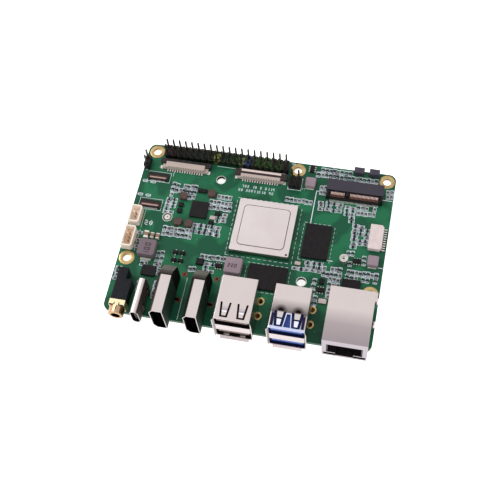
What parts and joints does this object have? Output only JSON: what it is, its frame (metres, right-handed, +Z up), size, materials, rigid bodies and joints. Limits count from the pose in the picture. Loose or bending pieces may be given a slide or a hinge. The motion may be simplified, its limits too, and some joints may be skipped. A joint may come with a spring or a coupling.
{
  "type": "single board computer",
  "caption": "Flat rectangular circuit board with a row of shielded ports along its front edge, a pin header along the rear edge and a capped processor in the middle.",
  "frame": {"origin": "centre of the rear left mounting hole, on the board's underside", "axes": "+X along the port edge, +Y from the port edge to the pin header, +Z up from the board"},
  "size_m": [0.1003, 0.0794, 0.0214],
  "materials": {
    "circuit_board": "gloss",
    "gold": "satin",
    "solder": "satin",
    "lid_metal": "satin",
    "shell_metal": "satin",
    "contact_metal": "satin",
    "chip_package": "matte",
    "substrate": "matte",
    "inductor": "matte",
    "capacitor": "matte",
    "resistor": "matte",
    "black_plastic": "matte",
    "slate_plastic": "matte",
    "beige_plastic": "matte",
    "brown_plastic": "matte",
    "ivory_plastic": "matte",
    "blue_plastic": "matte",
    "crystal_metal": "satin"
  },
  "bodies": {
    "computer": {"board": "circuit_board", "hole_plating": "gold", "solder_rings": "solder", "processor_substrate": "substrate", "processor_lid": "lid_metal", "memory_chips": "chip_package", "power_chip": "chip_package", "interface_chips": "chip_package", "small_chips": "chip_package", "small_chip_leads": "contact_metal", "power_inductors": "inductor", "chip_inductors": "inductor", "large_capacitors": "capacitor", "chip_capacitors": "capacitor", "chip_resistors": "resistor", "crystals": "crystal_metal", "gpio_header_base": "black_plastic", "gpio_header_pins": "gold", "small_header_bases": "black_plastic", "small_header_pins": "gold", "display_socket_1": "beige_plastic", "display_socket_2": "beige_plastic", "camera_socket_1": "beige_plastic", "camera_socket_2": "beige_plastic", "ribbon_contacts": "contact_metal", "touch_socket": "ivory_plastic", "touch_socket_contacts": "contact_metal", "wire_socket_1": "ivory_plastic", "wire_socket_2": "ivory_plastic", "wire_socket_pins": "contact_metal", "m2_socket": "slate_plastic", "m2_socket_contacts": "gold", "m2_standoff": "contact_metal", "m2_lower_socket": "slate_plastic", "m2_lower_nut": "contact_metal", "microsd_socket_shell": "shell_metal", "microsd_socket_base": "black_plastic", "audio_jack_body": "black_plastic", "audio_jack_barrel": "gold", "usb_c_shell": "shell_metal", "usb_c_tongue": "black_plastic", "hdmi_1_shell": "shell_metal", "hdmi_1_insert": "black_plastic", "hdmi_2_shell": "shell_metal", "hdmi_2_insert": "black_plastic", "usb2_shell": "shell_metal", "usb2_insert": "black_plastic", "usb3_shell": "shell_metal", "usb3_insert": "blue_plastic", "usb_contacts": "gold", "network_jack_shell": "shell_metal", "network_jack_insert": "black_plastic", "network_jack_contacts": "gold", "button_bodies": "slate_plastic"},
    "display_lock_1": {"display_socket_1_lock": "black_plastic"},
    "display_lock_2": {"display_socket_2_lock": "black_plastic"},
    "camera_flap_1": {"camera_socket_1_flap": "brown_plastic"},
    "camera_flap_2": {"camera_socket_2_flap": "brown_plastic"},
    "power_button": {"power_button_plunger": "black_plastic"},
    "reset_button": {"reset_button_plunger": "black_plastic"}
  },
  "joints": [
    {"name": "display_lock_1_slide", "type": "slide", "parent": "computer", "child": "display_lock_1", "axis": [0, 1, 0], "range_m": [0, 0.0007]},
    {"name": "display_lock_2_slide", "type": "slide", "parent": "computer", "child": "display_lock_2", "axis": [0, 1, 0], "range_m": [0, 0.0007]},
    {"name": "camera_flap_1_hinge", "type": "hinge", "parent": "computer", "child": "camera_flap_1", "pos_m": [0.0034, -0.01149, 0.00243], "axis": [1, 0, 0], "range_deg": [0, 90]},
    {"name": "camera_flap_2_hinge", "type": "hinge", "parent": "computer", "child": "camera_flap_2", "pos_m": [0.0033, -0.02419, 0.00243], "axis": [1, 0, 0], "range_deg": [0, 90]},
    {"name": "power_button_press", "type": "slide", "parent": "computer", "child": "power_button", "axis": [0, -1, 0], "range_m": [0, 0.00025], "stiffness_N_per_m": 2000, "springref_m": -0.0004},
    {"name": "reset_button_press", "type": "slide", "parent": "computer", "child": "reset_button", "axis": [0, -1, 0], "range_m": [0, 0.00025], "stiffness_N_per_m": 2000, "springref_m": -0.0004}
  ]
}
